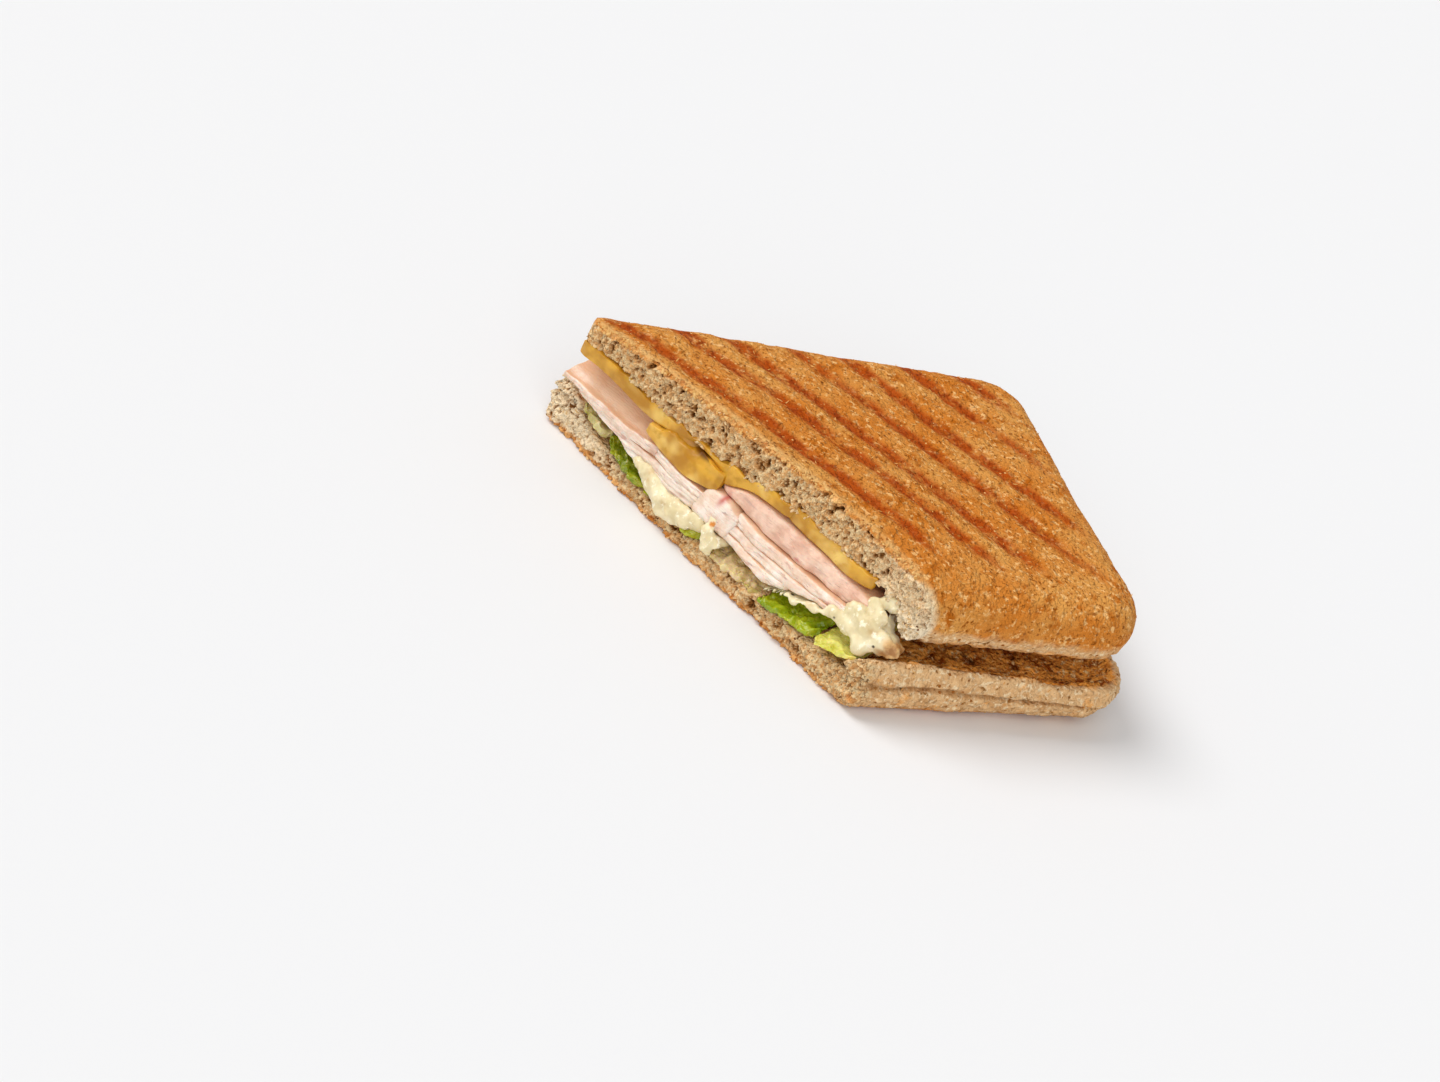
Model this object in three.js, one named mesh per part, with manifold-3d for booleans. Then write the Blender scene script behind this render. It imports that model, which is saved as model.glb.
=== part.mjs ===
// One half of a grill-pressed wholemeal sandwich, cut on the slant: two bread slabs with
// cheese, sliced turkey, dressing and lettuce between them. Millimetres, +Z up, the bottom
// slab flat on the ground. X runs along the long crust side, and the cut side looks to -X, -Y.
import * as THREE from 'three';
import { mergeVertices } from 'three/addons/utils/BufferGeometryUtils.js';
import Module from 'manifold-3d';

const wasm = await Module();
wasm.setup();

// ---- driving dimensions -------------------------------------------------------------------

// Each slab is a rounded rectangle seen from above, open-ended past the cut.
const BOTTOM_PLAN = { right: 58.2, front: -48, back: 48, corner: 13 };
const TOP_PLAN = { right: 55.5, front: -43.8, back: 46.4, corner: 13 };

// The knife's line on each slab. The top slab slid on the filling, so its line turned a little.
const BOTTOM_CUT = { from: [-57, 45.5], to: [-11.9, -46.1] };
const TOP_CUT = { from: [-57.7, 41.1], to: [-1.9, -44.2] };
const CUT_LOW = 6;
const CUT_HIGH = 23;

// Heights. A rim is the edge of a slab's inner face, where the two slabs nearly meet. A pair of
// numbers says between which two distances something grows or fades.
const BOTTOM_RIM = 14.1;
const BOTTOM_RIM_DROP = 1.9;
const DROP_BESIDE_FRONT = [12, 40];
const DROP_BESIDE_RIGHT = [8, 63];
const TOP_RIM_FRONT = 16.9;
const TOP_RIM_BACK = 14.5;
const SEAM_CLOSES = [12, 48];
const TIP_OPENING = 10.6;
const TIP_REACH = 20;
const TOP_LEVEL = 31;
const RIM_WIDTH = 2;
const RIM_SLOPE = 8;
const RIM_TO_FACE = 1.5;
const CRUST_EVENS_OUT = 60;
const FACES_EVEN_OUT = 32;

// The lower slab's wall leans in towards the ground, most at the front's right-hand end.
const LEAN_BESIDE_FRONT = [20, 60];
const LEAN_BESIDE_RIGHT = [6, 70];
const LEAN_ELSEWHERE = 0.15;
const WALL_WAVE = 0.4;
const WALL_WAVE_SIZE = 6;

// Height of the slabs' faces against the distance along the cut, away from the rims.
const FLOOR_AT_CUT = [
  [0, 10.5], [7, 8.6], [15, 5], [24, 4.5], [34, 3.8], [46, 3.8], [56, 5.1], [80, 5.6], [104, 7],
];
const ROOF_AT_CUT = [
  [0, 25.3], [11, 25.4], [18, 22.9], [40, 22.3], [49, 22.7], [60, 24.8], [71, 25], [88, 23.3],
  [104, 22],
];
const CRUST_AT_CUT = [[0, 30.2], [14, 31.7], [50, 33.1], [66, 33.9], [80, 33.2], [92, 32], [104, 31]];
const FLOOR_INSIDE = 8.6;
const ROOF_INSIDE = 19.4;

// Grill marks on the top crust: distance from the cut, fanning out a little.
const GROOVES = [8.8, 21, 30.6, 43.8, 54.8, 67.8, 80];
const GROOVE_FAN = 0.05;
const GROOVE_MIDDLE = 55;
const GROOVE_HALF_WIDTH = 2.1;
const GROOVE_DEPTH = 0.9;
const GROOVE_FADES = { back: [4, 11], front: [12, 25], right: [9, 20] };

const SHOULDER_SHARE = 0.58;
const SHOULDER_WIDTH = 9;
const SHOULDER_WIDTH_BACK = 6;
const PILLOW_HEIGHT = 0.45;
const PILLOW_SIZE = 17;
const KNIFE_HEIGHTS = { bottom: [-5, 20], top: [10, 40] };
const KNIFE_THICKNESS = 60;
const KNIFE_OVERRUN = 50;
const CRUMB_RELIEF = 0.5;
const CRUMB_SIZE = 2.6;
const CRUMB_FACET = 2;
const MARGIN_PAST_CUT = 7;
const TIP_ROUND_FROM = 3;
const TOP_TIP_ROUND = 0.16;
const BOTTOM_TIP_ROUND = 0.02;

// The filling: clearance to its neighbours, how deep the cut's disorder goes, and its ripple.
const GAP = 0.32;
const BREAD_GAP = 0.5;
const THINNEST = 0.35;
const EDGE_PINCH = 0.07;
const FILLING_INSET = 11;
const FILLING_INSET_AT_TIP = 3.2;
const TIP_INSET_GROWS = [2, 30];
const FRONT_REACH = 7;
const FRONT_REACH_FROM = [86, 95];
const UNLIMITED = 120;
const SETTLE_DEPTH = 14;
const LOWEST_CURL = -0.2;
const RIPPLE = 0.08;
const RIPPLE_SIZE = 9;
const COLUMN_WIDTH = 3.3;
const FRONT_RAGGED = 0.45;
const FRONT_RAGGED_SIZE = 4;
const BACK_RAGGED = 1;
const BACK_RAGGED_SIZE = 7;
const SHORTEST_REACH = 3;

// ---- small helpers --------------------------------------------------------------------------

const { clamp, lerp, smoothstep } = THREE.MathUtils;

function profile(points, u) {
  const last = points.length - 1;
  if (u <= points[0][0]) return points[0][1];
  if (u >= points[last][0]) return points[last][1];
  const i = points.findIndex(([at]) => at > u) - 1;
  const [u0, z0] = points[i];
  const [u1, z1] = points[i + 1];
  return lerp(z0, z1, smoothstep(u, u0, u1));
}

function hash(i, j, k) {
  const s = Math.sin(i * 127.1 + j * 311.7 + k * 74.7) * 43758.5453;
  return 2 * (s - Math.floor(s)) - 1;
}

// Smooth noise from -1 to 1 with one bump to each unit of length.
function noise(x, y, seed) {
  const i = Math.floor(x);
  const j = Math.floor(y);
  const a = smoothstep(x - i, 0, 1);
  const b = smoothstep(y - j, 0, 1);
  const near = lerp(hash(i, j, seed), hash(i + 1, j, seed), a);
  const far = lerp(hash(i, j + 1, seed), hash(i + 1, j + 1, seed), a);
  return lerp(near, far, b);
}

function lineFrame(from, to) {
  const length = Math.hypot(to[0] - from[0], to[1] - from[1]);
  const along = [(to[0] - from[0]) / length, (to[1] - from[1]) / length];
  return { from, along, inward: [-along[1], along[0]], length };
}

const bottomLine = lineFrame(BOTTOM_CUT.from, BOTTOM_CUT.to);
const topLine = lineFrame(TOP_CUT.from, TOP_CUT.to);

// The cut at any height between the slabs' own lines.
function cutLineAt(z) {
  const t = clamp((z - CUT_LOW) / (CUT_HIGH - CUT_LOW), 0, 1);
  const from = [0, 1].map((n) => lerp(BOTTOM_CUT.from[n], TOP_CUT.from[n], t));
  const to = [0, 1].map((n) => lerp(BOTTOM_CUT.to[n], TOP_CUT.to[n], t));
  return lineFrame(from, to);
}

function alongCut(line, x, y) {
  const dx = x - line.from[0];
  const dy = y - line.from[1];
  return {
    u: dx * line.along[0] + dy * line.along[1],
    w: dx * line.inward[0] + dy * line.inward[1],
  };
}

// A place in the filling: u along the cut, w into the sandwich, z up.
function place(u, w, z) {
  const line = cutLineAt(z);
  return [
    line.from[0] + u * line.along[0] + w * line.inward[0],
    line.from[1] + u * line.along[1] + w * line.inward[1],
  ];
}

// Distance from a slab's outline, positive inside, and the outline's outward direction.
function inside(plan, x, y) {
  const middle = (plan.front + plan.back) / 2;
  const half = (plan.back - plan.front) / 2;
  const qx = x - plan.right + plan.corner;
  const qy = Math.abs(y - middle) - half + plan.corner;
  const side = Math.sign(y - middle) || 1;
  if (qx > 0 && qy > 0) {
    const reach = Math.hypot(qx, qy);
    return { depth: plan.corner - reach, out: [qx / reach, (side * qy) / reach] };
  }
  if (qx > qy) return { depth: plan.corner - qx, out: [1, 0] };
  return { depth: plan.corner - qy, out: [0, side] };
}

// ---- the slabs' faces -----------------------------------------------------------------------

// A face follows its profile at the cut and evens out to one height further in.
function faceHeight(line, points, inner, evensOut, x, y) {
  const { u, w } = alongCut(line, x, y);
  return lerp(profile(points, u), inner, smoothstep(Math.abs(w), 0, evensOut));
}

// The rims meet at the back, part a little along the front, and stand well apart at the sharp
// tip, where the filling comes right out to the crust.
function topRim(x, y) {
  const closing = smoothstep(y - TOP_PLAN.front, ...SEAM_CLOSES);
  const fromTip = Math.hypot(x - TOP_CUT.from[0], y - TOP_CUT.from[1]);
  const opening = TIP_OPENING * Math.exp(-((fromTip / TIP_REACH) ** 2));
  return lerp(TOP_RIM_FRONT, TOP_RIM_BACK, closing) + opening;
}

// 1 at the lower slab's right-hand end of the front, 0 away from it.
function nearFrontRight(x, y, besideFront, besideRight) {
  const front = 1 - smoothstep(y - BOTTOM_PLAN.front, ...besideFront);
  const right = 1 - smoothstep(BOTTOM_PLAN.right - x, ...besideRight);
  return front * right;
}

function bottomRim(x, y) {
  return BOTTOM_RIM - BOTTOM_RIM_DROP * nearFrontRight(x, y, DROP_BESIDE_FRONT, DROP_BESIDE_RIGHT);
}

function floorHeight(x, y) {
  const rim = smoothstep(inside(BOTTOM_PLAN, x, y).depth, RIM_WIDTH, RIM_WIDTH + RIM_SLOPE);
  const face = faceHeight(bottomLine, FLOOR_AT_CUT, FLOOR_INSIDE, FACES_EVEN_OUT, x, y);
  return lerp(bottomRim(x, y), face, rim);
}

function roofHeight(x, y) {
  const rim = smoothstep(inside(TOP_PLAN, x, y).depth, RIM_WIDTH, RIM_WIDTH + RIM_SLOPE);
  const face = faceHeight(topLine, ROOF_AT_CUT, ROOF_INSIDE, FACES_EVEN_OUT, x, y);
  return lerp(topRim(x, y), face, rim);
}

function crustLevel(x, y) {
  return faceHeight(topLine, CRUST_AT_CUT, TOP_LEVEL, CRUST_EVENS_OUT, x, y);
}

// The crust falls away in a quarter ellipse at the sides, which the grill doesn't press.
function crustHeight(x, y) {
  const level = crustLevel(x, y);
  const { depth } = inside(TOP_PLAN, x, y);
  const roundWidth = lerp(SHOULDER_WIDTH, SHOULDER_WIDTH_BACK, clamp(y / TOP_PLAN.back, 0, 1));
  const roundHeight = SHOULDER_SHARE * (level - topRim(x, y));
  const share = clamp(1 - depth / roundWidth, 0, 1);
  const rounded = level - roundHeight * (1 - Math.sqrt(1 - share * share));
  const pillow = PILLOW_HEIGHT * noise(x / PILLOW_SIZE, y / PILLOW_SIZE, 3) * (1 - share);
  return rounded + pillow - grooveDepth(x, y);
}

function grooveDepth(x, y) {
  const { u, w } = alongCut(topLine, x, y);
  const backFade = smoothstep(TOP_PLAN.back - y, ...GROOVE_FADES.back);
  const frontFade = smoothstep(y - TOP_PLAN.front, ...GROOVE_FADES.front);
  const rightFade = smoothstep(TOP_PLAN.right - x, ...GROOVE_FADES.right);
  let press = 0;
  for (const at of GROOVES) {
    const off = (w - at - GROOVE_FAN * (u - GROOVE_MIDDLE)) / GROOVE_HALF_WIDTH;
    press += Math.exp(-off * off);
  }
  return GROOVE_DEPTH * press * backFade * frontFade * rightFade;
}

// ---- closed meshes --------------------------------------------------------------------------

class Shell {
  constructor() {
    this.points = [];
    this.faces = [];
  }

  point(x, y, z) {
    this.points.push(x, y, z);
    return this.points.length / 3 - 1;
  }

  quad(a, b, c, d) {
    this.faces.push(a, b, c, a, c, d);
  }

  // A grid of points, facing up or down.
  patch(grid, facesUp) {
    for (let j = 0; j < grid.length - 1; j += 1) {
      for (let i = 0; i < grid[0].length - 1; i += 1) {
        const corners = [grid[j][i], grid[j][i + 1], grid[j + 1][i + 1], grid[j + 1][i]];
        if (facesUp) this.quad(...corners);
        else this.quad(corners[1], corners[0], corners[3], corners[2]);
      }
    }
  }

  // A wall between two loops with the same number of points.
  band(above, below) {
    for (let i = 0; i < above.length; i += 1) {
      const next = (i + 1) % above.length;
      this.quad(above[i], below[i], below[next], above[next]);
    }
  }

  // Joins loops of different numbers of points, stepping on whichever is behind.
  stitch(above, below) {
    let i = 0;
    let j = 0;
    while (i < above.length || j < below.length) {
      const a = above[i % above.length];
      const b = below[j % below.length];
      const aboveIsBehind = (i + 1) / above.length <= (j + 1) / below.length;
      if (j >= below.length || (i < above.length && aboveIsBehind)) {
        i += 1;
        this.faces.push(a, b, above[i % above.length]);
      } else {
        j += 1;
        this.faces.push(a, b, below[j % below.length]);
      }
    }
  }

  geometry() {
    const made = new THREE.BufferGeometry();
    made.setAttribute('position', new THREE.Float32BufferAttribute(this.points, 3));
    made.setIndex(this.faces);
    return made;
  }
}

// The edge of a grid as one loop, anticlockwise seen from above.
function loopOf(grid) {
  const rows = grid.length;
  const columns = grid[0].length;
  const loop = [];
  for (let i = 0; i < columns - 1; i += 1) loop.push(grid[0][i]);
  for (let j = 0; j < rows - 1; j += 1) loop.push(grid[j][columns - 1]);
  for (let i = columns - 1; i > 0; i -= 1) loop.push(grid[rows - 1][i]);
  for (let j = rows - 1; j > 0; j -= 1) loop.push(grid[j][0]);
  return loop;
}

// Even spacing with closer marks at the ends, given as insets from each end.
function spaced(low, high, count, insetsLow, insetsHigh) {
  const first = low + (insetsLow.at(-1) ?? 0);
  const last = high - (insetsHigh.at(-1) ?? 0);
  const marks = insetsLow.slice(0, -1).map((inset) => low + inset);
  for (let i = 0; i <= count; i += 1) marks.push(lerp(first, last, i / count));
  insetsHigh.slice(0, -1).reverse().forEach((inset) => marks.push(high - inset));
  return marks;
}

// ---- bread ----------------------------------------------------------------------------------

const EDGE_INSETS = [0, 0.5, 1.7, 3.8, 6.8];

// Plan positions that cover a slab from just past its cut to its outline, less an inset.
function planGrid(plan, line, inset, counts, insets) {
  const radius = plan.corner - inset;
  const front = plan.front + inset;
  const back = plan.back - inset;
  return spaced(front, back, counts.rows, insets, insets).map((y) => {
    const intoCorner = clamp(radius - Math.min(y - front, back - y), 0, radius);
    const right = plan.right - inset - radius + Math.sqrt(radius ** 2 - intoCorner ** 2);
    const onCut = line.from[0] + ((y - line.from[1]) * line.along[0]) / line.along[1];
    return spaced(onCut - MARGIN_PAST_CUT, right, counts.columns, [], insets).map((x) => [x, y]);
  });
}

function wallLean(x, y) {
  return lerp(LEAN_ELSEWHERE, 1, nearFrontRight(x, y, LEAN_BESIDE_FRONT, LEAN_BESIDE_RIGHT));
}

// A slab before the knife: an outer face, a wall given as insets and heights, an inner face.
// A wall ring's lean is how much further in it stands where the wall leans most.
function slab({ plan, line, outerInset, outerCounts, outer, wall, innerCounts, inner, facesUp }) {
  const shell = new Shell();
  const raise = (grid, height) => grid.map((row) => row.map(([x, y]) => shell.point(x, y, height(x, y))));
  const outline = loopOf(planGrid(plan, line, 0, outerCounts, EDGE_INSETS));
  const outerGrid = raise(planGrid(plan, line, outerInset, outerCounts, EDGE_INSETS), outer);
  const innerInset = wall.at(-1).inset + RIM_TO_FACE;
  const innerGrid = raise(planGrid(plan, line, innerInset, innerCounts, []), inner);
  const rings = [loopOf(outerGrid)];
  for (const { inset, lean = 0, z } of wall) {
    rings.push(outline.map(([x, y]) => {
      const edge = inside(plan, x, y);
      const out = edge.depth > 0.1 ? [-1, 0] : edge.out;
      const back = inset + lean * wallLean(x, y);
      return shell.point(x - out[0] * back, y - out[1] * back, z(x, y));
    }));
  }
  shell.patch(outerGrid, facesUp);
  shell.patch(innerGrid, !facesUp);
  for (let n = 0; n < rings.length - 1; n += 1) {
    if (facesUp) shell.band(rings[n], rings[n + 1]);
    else shell.band(rings[n + 1], rings[n]);
  }
  if (facesUp) shell.stitch(rings.at(-1), loopOf(innerGrid));
  else shell.stitch(loopOf(innerGrid), rings.at(-1));
  return shell.geometry();
}

function toManifold(geometry) {
  const bare = geometry.clone();
  bare.deleteAttribute('normal');
  bare.deleteAttribute('uv');
  const merged = mergeVertices(bare, 1e-4);
  return new wasm.Manifold(new wasm.Mesh({
    numProp: 3,
    vertProperties: new Float32Array(merged.attributes.position.array),
    triVerts: new Uint32Array(merged.index.array),
  }));
}

function fromManifold(solid) {
  const mesh = solid.getMesh();
  const made = new THREE.BufferGeometry();
  made.setAttribute('position', new THREE.Float32BufferAttribute(mesh.vertProperties, 3));
  made.setIndex(Array.from(mesh.triVerts));
  return made;
}

// What the knife takes away: a block whose near face is as rough as torn crumb. Near the sharp
// tip it turns inward, because the tip itself broke off round.
function knifeBlock(line, [low, high], tipRound, seed) {
  const length = line.length + KNIFE_OVERRUN;
  const columns = Math.round(length / CRUMB_FACET);
  const rows = Math.round((high - low) / CRUMB_FACET);
  const block = new THREE.BoxGeometry(length, KNIFE_THICKNESS, high - low, columns, 1, rows);
  block.translate(line.length / 2, -KNIFE_THICKNESS / 2, (high + low) / 2);
  const at = block.attributes.position;
  for (let n = 0; n < at.count; n += 1) {
    const u = at.getX(n);
    const z = at.getZ(n);
    let w = at.getY(n);
    if (w > -KNIFE_THICKNESS / 2) {
      w += CRUMB_RELIEF * noise(u / CRUMB_SIZE, z / CRUMB_SIZE, seed);
      w += CRUMB_RELIEF * noise(u / (4 * CRUMB_SIZE), z / (4 * CRUMB_SIZE), seed + 1);
      w += tipRound * Math.max(0, TIP_ROUND_FROM - u) ** 2;
    }
    const x = line.from[0] + u * line.along[0] + w * line.inward[0];
    const y = line.from[1] + u * line.along[1] + w * line.inward[1];
    at.setXYZ(n, x, y, z);
  }
  return toManifold(block);
}

function cutBread(whole, line, heights, tipRound, seed) {
  return fromManifold(toManifold(whole).subtract(knifeBlock(line, heights, tipRound, seed)));
}

function topBread() {
  const side = (share) => (x, y) => {
    const level = crustLevel(x, y);
    return topRim(x, y) + share * (1 - SHOULDER_SHARE) * (level - topRim(x, y));
  };
  return slab({
    plan: TOP_PLAN,
    line: topLine,
    outerInset: 0,
    outerCounts: { rows: 27, columns: 28 },
    outer: crustHeight,
    wall: [
      { inset: 0.2, z: side(0.66) },
      { inset: 0.9, z: side(0.28) },
      { inset: 2.3, z: side(-0.02) },
      { inset: 3.6, z: topRim },
    ],
    innerCounts: { rows: 18, columns: 12 },
    inner: roofHeight,
    facesUp: true,
  });
}

// The wall of the lower slab bulges over the ground and has a crease below a pale lip.
function bottomBread() {
  const wave = (x, y) => WALL_WAVE * noise(x / WALL_WAVE_SIZE, y / WALL_WAVE_SIZE, 9);
  return slab({
    plan: BOTTOM_PLAN,
    line: bottomLine,
    outerInset: 8,
    outerCounts: { rows: 16, columns: 13 },
    outer: () => 0,
    wall: [
      { inset: 3, lean: 4.6, z: () => 0.05 },
      { inset: 1.1, lean: 4, z: () => 1.3 },
      { inset: 0, lean: 2.2, z: (x, y) => 4.4 + wave(x, y) },
      { inset: 0.4, lean: 0.6, z: (x, y) => 7.2 + wave(x, y) },
      { inset: 1.7, z: (x, y) => 8.4 + 2 * wave(x, y) },
      { inset: 0.9, z: (x, y) => bottomRim(x, y) - 3.9 + 2 * wave(x, y) },
      { inset: 1.4, z: (x, y) => bottomRim(x, y) - 1.2 + wave(x, y) },
      { inset: 2.9, z: bottomRim },
    ],
    innerCounts: { rows: 20, columns: 12 },
    inner: floorHeight,
    facesUp: false,
  });
}

// ---- filling --------------------------------------------------------------------------------

// How far into the sandwich the filling reaches at a place along the cut. It comes right out
// to the back crust at the sharp tip, and keeps clear of the pressed rims elsewhere.
function fillingReach(u) {
  const line = cutLineAt((CUT_LOW + CUT_HIGH) / 2);
  const backInset = lerp(FILLING_INSET_AT_TIP, FILLING_INSET, smoothstep(u, ...TIP_INSET_GROWS));
  const toBack = (TOP_PLAN.back - backInset - line.from[1] - u * line.along[1]) / line.inward[1];
  const rightEdge = TOP_PLAN.right - FILLING_INSET;
  const toRight = (rightEdge - line.from[0] - u * line.along[0]) / line.inward[0];
  const besideFront = lerp(UNLIMITED, FRONT_REACH, smoothstep(u, ...FRONT_REACH_FROM));
  return Math.min(toBack, toRight, besideFront);
}

// Turns a height at the cut into a share of the room between the slabs. Further in, each
// layer settles to its own share of that room, so layers that are in order stay in order.
function settledHeight(u, w, heightAtCut, shareInside) {
  const settleOn = (face, depth, start) => {
    let z = start;
    for (let n = 0; n < 4; n += 1) z = face(...place(u, depth, z));
    return z;
  };
  const floor = (depth) => settleOn(floorHeight, depth, CUT_LOW) + BREAD_GAP;
  const roof = (depth) => settleOn(roofHeight, depth, CUT_HIGH) - BREAD_GAP;
  const inner = Math.max(w, 0);
  const lowest = w < 0 ? LOWEST_CURL : 0;
  const shareAtCut = clamp((heightAtCut - floor(0)) / (roof(0) - floor(0)), lowest, 1);
  const share = lerp(shareAtCut, shareInside, smoothstep(inner, 0, SETTLE_DEPTH));
  const ripple = RIPPLE * noise(u / RIPPLE_SIZE, w / RIPPLE_SIZE, 5) * share * (1 - share);
  return lerp(floor(inner), roof(inner), share + ripple);
}

const DEPTH_STEPS = [0, 0.03, 0.1, 0.25, 0.55, 1];
const END_INSETS = [0, 0.9];

// One layer of the filling, from its heights along the cut. A curl lets a leaf's front edge
// hang down over the width given, so its face shows at the cut.
function layer(piece) {
  const { from, to, under, over, share, push, curl = 0, leaf = 0, reach = UNLIMITED, seed } = piece;
  const shell = new Shell();
  const columns = Math.max(2, Math.round((to - from) / COLUMN_WIDTH));
  const above = [];
  const below = [];
  const alongMarks = spaced(from, to, columns, END_INSETS, END_INSETS);
  DEPTH_STEPS.forEach((step, j) => {
    above.push([]);
    below.push([]);
    alongMarks.forEach((u, i) => {
      const front = -push - FRONT_RAGGED * noise(u / FRONT_RAGGED_SIZE, seed, seed);
      const ragged = BACK_RAGGED * (1 + noise(u / BACK_RAGGED_SIZE, seed, seed + 1));
      const back = Math.min(reach, fillingReach(u) - ragged);
      const w = lerp(front, Math.max(back, front + SHORTEST_REACH), step);
      let low = profile(under, u);
      let high = profile(over, u);
      if (leaf) {
        const lift = lerp(low + leaf / 2, high - leaf / 2, smoothstep(w, front, front + curl));
        low = lift - leaf / 2;
        high = lift + leaf / 2;
      }
      let bottom = settledHeight(u, w, low, share[0]);
      let top = settledHeight(u, w, high, share[1]);
      const isEdge = i === 0 || i === alongMarks.length - 1 || j === 0 || j === DEPTH_STEPS.length - 1;
      const pinch = isEdge ? EDGE_PINCH * (top - bottom) : 0;
      bottom += GAP / 2 + pinch;
      top = Math.max(top - GAP / 2 - pinch, bottom + THINNEST);
      above[j].push(shell.point(...place(u, w, top), top));
      below[j].push(shell.point(...place(u, w, bottom), bottom));
    });
  });
  shell.patch(above, true);
  shell.patch(below, false);
  shell.band(loopOf(above), loopOf(below));
  return shell.geometry();
}

const CHEESE = [
  {
    name: 'cheese_left',
    from: 1.4,
    to: 45.6,
    under: [[0, 21.9], [6, 22.2], [13, 21.5], [20, 20.5], [25, 20], [30, 21], [45, 20.9]],
    over: [[0, 24.2], [10, 24.1], [18, 22.7], [40, 22.3], [46, 22.6]],
    share: [0.86, 0.93],
    push: 0.2,
    seed: 11,
  },
  {
    name: 'cheese_fold',
    from: 26,
    to: 45.6,
    under: [[26, 17.4], [32, 15.6], [38, 15.2], [42, 15.8], [46, 17]],
    over: [[26, 18.7], [32, 19.8], [38, 19.9], [42, 19.7], [46, 19.3]],
    share: [0.81, 0.85],
    push: 1.3,
    reach: 15,
    seed: 12,
  },
  {
    name: 'cheese_middle',
    from: 46.3,
    to: 62.8,
    under: [[46, 18.4], [50, 21], [54, 22.4], [62, 22.9]],
    over: ROOF_AT_CUT,
    share: [0.86, 0.93],
    push: 0.4,
    seed: 13,
  },
  {
    name: 'cheese_right',
    from: 64.2,
    to: 86.6,
    under: [[64, 22.5], [73, 21.7], [81, 21.2], [87, 22]],
    over: ROOF_AT_CUT,
    share: [0.86, 0.93],
    push: 0.4,
    seed: 14,
  },
];

const TURKEY = [
  {
    name: 'turkey_left_1',
    from: 0.9,
    to: 29.2,
    under: [[1, 14.2], [9, 13.7], [20, 13], [29, 13.4]],
    over: [[1, 15], [9, 15.6], [20, 15], [29, 15.9]],
    share: [0.66, 0.79],
    push: 1.4,
    seed: 21,
  },
  {
    name: 'turkey_left_2',
    from: 30,
    to: 45.4,
    under: [[30, 13.4], [38, 12.8], [46, 13.4]],
    over: [[30, 15.4], [37, 14.9], [46, 15.1]],
    share: [0.66, 0.79],
    push: 1.2,
    seed: 22,
  },
  {
    name: 'turkey_left_3',
    from: 6,
    to: 45.4,
    under: [[6, 13.2], [14, 11.8], [25, 10.9], [36, 10.6], [46, 11.8]],
    over: [[6, 13.5], [14, 13.2], [25, 12.8], [38, 12.7], [46, 13.3]],
    share: [0.5, 0.65],
    push: 1.1,
    seed: 23,
  },
  {
    name: 'turkey_left_4',
    from: 17,
    to: 45.4,
    under: [[17, 11.1], [25, 9.6], [33, 8.5], [42, 9.7], [46, 10.2]],
    over: [[17, 11.5], [25, 10.8], [36, 10.5], [46, 11.6]],
    share: [0.34, 0.49],
    push: 0.9,
    seed: 24,
  },
  {
    name: 'turkey_fold',
    from: 46.2,
    to: 54.6,
    under: [[46, 10.5], [50, 10.2], [54.6, 10.1]],
    over: [[46, 16.6], [48, 17.5], [51, 17.3], [54.6, 15.2]],
    share: [0.34, 0.62],
    push: 1.6,
    seed: 25,
  },
  {
    name: 'turkey_roll',
    from: 47.6,
    to: 91.5,
    under: [[47, 18.3], [52, 18], [56, 16.8], [68, 16.2], [82, 16.3], [92, 18]],
    over: [[47, 18.9], [53, 21.4], [60, 21.9], [67, 21.7], [74, 21.2], [82, 20.7], [92, 20.2]],
    share: [0.66, 0.8],
    push: 1.1,
    seed: 26,
  },
  {
    name: 'turkey_right_1',
    from: 55.4,
    to: 88,
    under: [[55, 13.9], [66, 13.6], [80, 13.9], [90, 16.4]],
    over: [[55, 16.6], [68, 16], [82, 16.1], [90, 17.2]],
    share: [0.56, 0.65],
    push: 1.1,
    seed: 27,
  },
  {
    name: 'turkey_right_2',
    from: 55.4,
    to: 84,
    under: [[55, 11.7], [66, 11.2], [76, 11.6], [84, 13.6]],
    over: [[55, 13.7], [66, 13.4], [80, 13.7], [84, 14]],
    share: [0.45, 0.55],
    push: 1.2,
    seed: 28,
  },
  {
    name: 'turkey_right_3',
    from: 55.4,
    to: 74,
    under: [[55, 10], [62, 9.4], [70, 8.8], [74, 10.6]],
    over: [[55, 11.5], [66, 11], [74, 11.3]],
    share: [0.34, 0.44],
    push: 0.9,
    seed: 29,
  },
];

const DRESSING = [
  {
    name: 'dressing_left',
    from: 26,
    to: 50.6,
    under: [[26, 8.9], [31, 7.4], [37, 5.2], [43, 5.4], [46, 8.9], [50, 8.6]],
    over: [[26, 9.3], [33, 8.3], [42, 9.5], [50, 9.9]],
    share: [0.2, 0.33],
    push: 1.5,
    seed: 31,
  },
  {
    name: 'dressing_drop',
    from: 51.4,
    to: 57,
    under: [[51, 7.6], [54, 6], [57, 7.4]],
    over: [[51, 9.4], [54, 9.7], [57, 9.2]],
    share: [0.24, 0.33],
    push: 2.4,
    reach: 6,
    seed: 32,
  },
  {
    name: 'dressing_right',
    from: 71,
    to: 101.6,
    under: [[71, 7.8], [74, 9.6], [79, 10.8], [84, 12.5], [88, 12.9], [97, 13], [103, 14.4]],
    over: [[71, 8.5], [74, 10.4], [84, 13.3], [90, 16.7], [96, 19.5], [100, 18.4], [103, 16.4]],
    share: [0.2, 0.33],
    push: 1.8,
    seed: 33,
  },
];

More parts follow.
